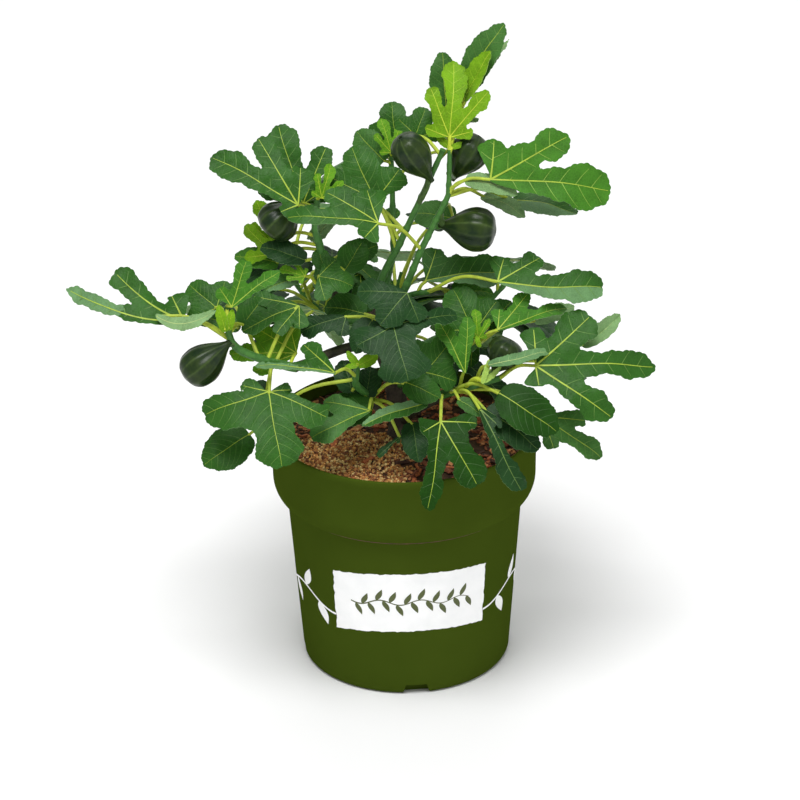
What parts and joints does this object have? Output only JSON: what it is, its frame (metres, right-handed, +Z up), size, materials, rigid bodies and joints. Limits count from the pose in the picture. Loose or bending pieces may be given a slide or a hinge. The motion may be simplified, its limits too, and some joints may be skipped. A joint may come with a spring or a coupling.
{
  "type": "fig tree in a pot",
  "caption": "Young fig tree with lobed leaves and unripe figs, growing in a round plastic nursery pot with a stepped rim.",
  "frame": {"origin": "centre of the pot's flat underside, on the pot's axis", "axes": "+Z up along the pot's axis, -Y towards the front of the plant, +X to the right as seen from the front"},
  "size_m": [0.5203, 0.4119, 0.6036],
  "materials": {
    "pot": "satin",
    "soil": "matte",
    "bark": "matte",
    "shoot": "satin",
    "leaves": "matte"
  },
  "bodies": {
    "root": {"pot": "pot", "soil": "soil", "trunk": "bark", "bough_top": "shoot", "bough_second": "shoot", "bough_back_top": "shoot", "bough_upper_left": "shoot", "bough_left": "shoot", "bough_front": "shoot", "bough_centre": "shoot", "bough_mid_right": "shoot", "bough_right": "shoot", "bough_right_low": "shoot", "bough_back_left": "shoot", "bough_back_right": "shoot", "bough_back": "shoot", "mass_top": "leaves", "mass_second": "leaves", "mass_back_top": "leaves", "mass_upper_left": "leaves", "mass_left": "leaves", "mass_front": "leaves", "mass_centre": "leaves", "mass_mid_right": "leaves", "mass_right": "leaves", "mass_right_low": "leaves", "mass_back_left": "leaves", "mass_back_right": "leaves", "mass_back": "leaves"}
  },
  "joints": []
}
